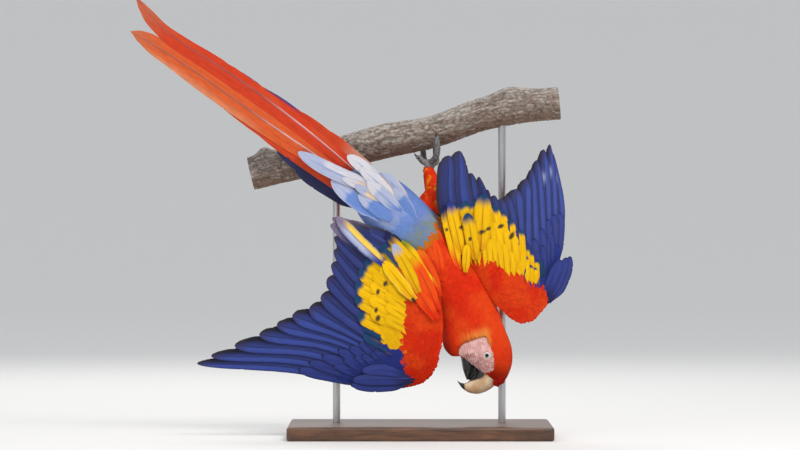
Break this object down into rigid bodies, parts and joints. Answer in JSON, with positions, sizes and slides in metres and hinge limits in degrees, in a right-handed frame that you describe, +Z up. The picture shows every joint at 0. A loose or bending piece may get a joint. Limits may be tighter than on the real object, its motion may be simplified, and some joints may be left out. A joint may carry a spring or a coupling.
{
  "type": "scarlet macaw model",
  "caption": "Life-size scarlet macaw hanging head down from a short branch, wings half open and long tail raised, on a flat display stand.",
  "frame": {"origin": "centre of the stand base's underside", "axes": "+Z up; the bird's back faces -Y; its tail rises towards -X and its left wing lies towards +X"},
  "size_m": [0.6962, 0.26, 0.6997],
  "materials": {
    "plumage_red": "dense soft feathers",
    "plumage_head": "short soft feathers, bare pale skin on the face",
    "plumage_pale": "soft feathers",
    "vanes_red": "smooth feather vanes",
    "vanes_blue": "smooth feather vanes",
    "horn_pale": "satin horn",
    "horn_dark": "satin dark horn",
    "eye": "glossy",
    "foot_scales": "dry scaly skin",
    "bark": "rough bark",
    "stand_wood": "satin stained wood",
    "stand_steel": "brushed"
  },
  "bodies": {
    "root": {"alula_left": "vanes_blue", "alula_right": "vanes_blue", "bill_lower": "horn_dark", "bill_upper": "horn_pale", "claw_left_1": "horn_dark", "claw_left_2": "horn_dark", "claw_left_3": "horn_dark", "claw_left_4": "horn_dark", "claw_right_1": "horn_dark", "claw_right_2": "horn_dark", "claw_right_3": "horn_dark", "claw_right_4": "horn_dark", "eye_left": "eye", "eye_right": "eye", "foot_left": "foot_scales", "foot_right": "foot_scales", "head": "plumage_head", "neck": "plumage_red", "perch_branch": "bark", "primaries_left": "vanes_blue", "primaries_right": "vanes_blue", "secondaries_left": "vanes_blue", "secondaries_right": "vanes_blue", "stand_base": "stand_wood", "stand_rod_1": "stand_steel", "stand_rod_2": "stand_steel", "tail_coverts_lower": "plumage_pale", "tail_coverts_upper": "plumage_pale", "tail_feathers_left": "vanes_red", "tail_feathers_right": "vanes_red", "tertials_left": "vanes_blue", "tertials_right": "vanes_blue", "thigh_left": "plumage_red", "thigh_right": "plumage_red", "tongue": "horn_dark", "trunk": "plumage_red", "wing_arm_left": "plumage_red", "wing_arm_right": "plumage_red", "wing_hand_left": "vanes_blue", "wing_hand_right": "vanes_blue"}
  },
  "joints": []
}
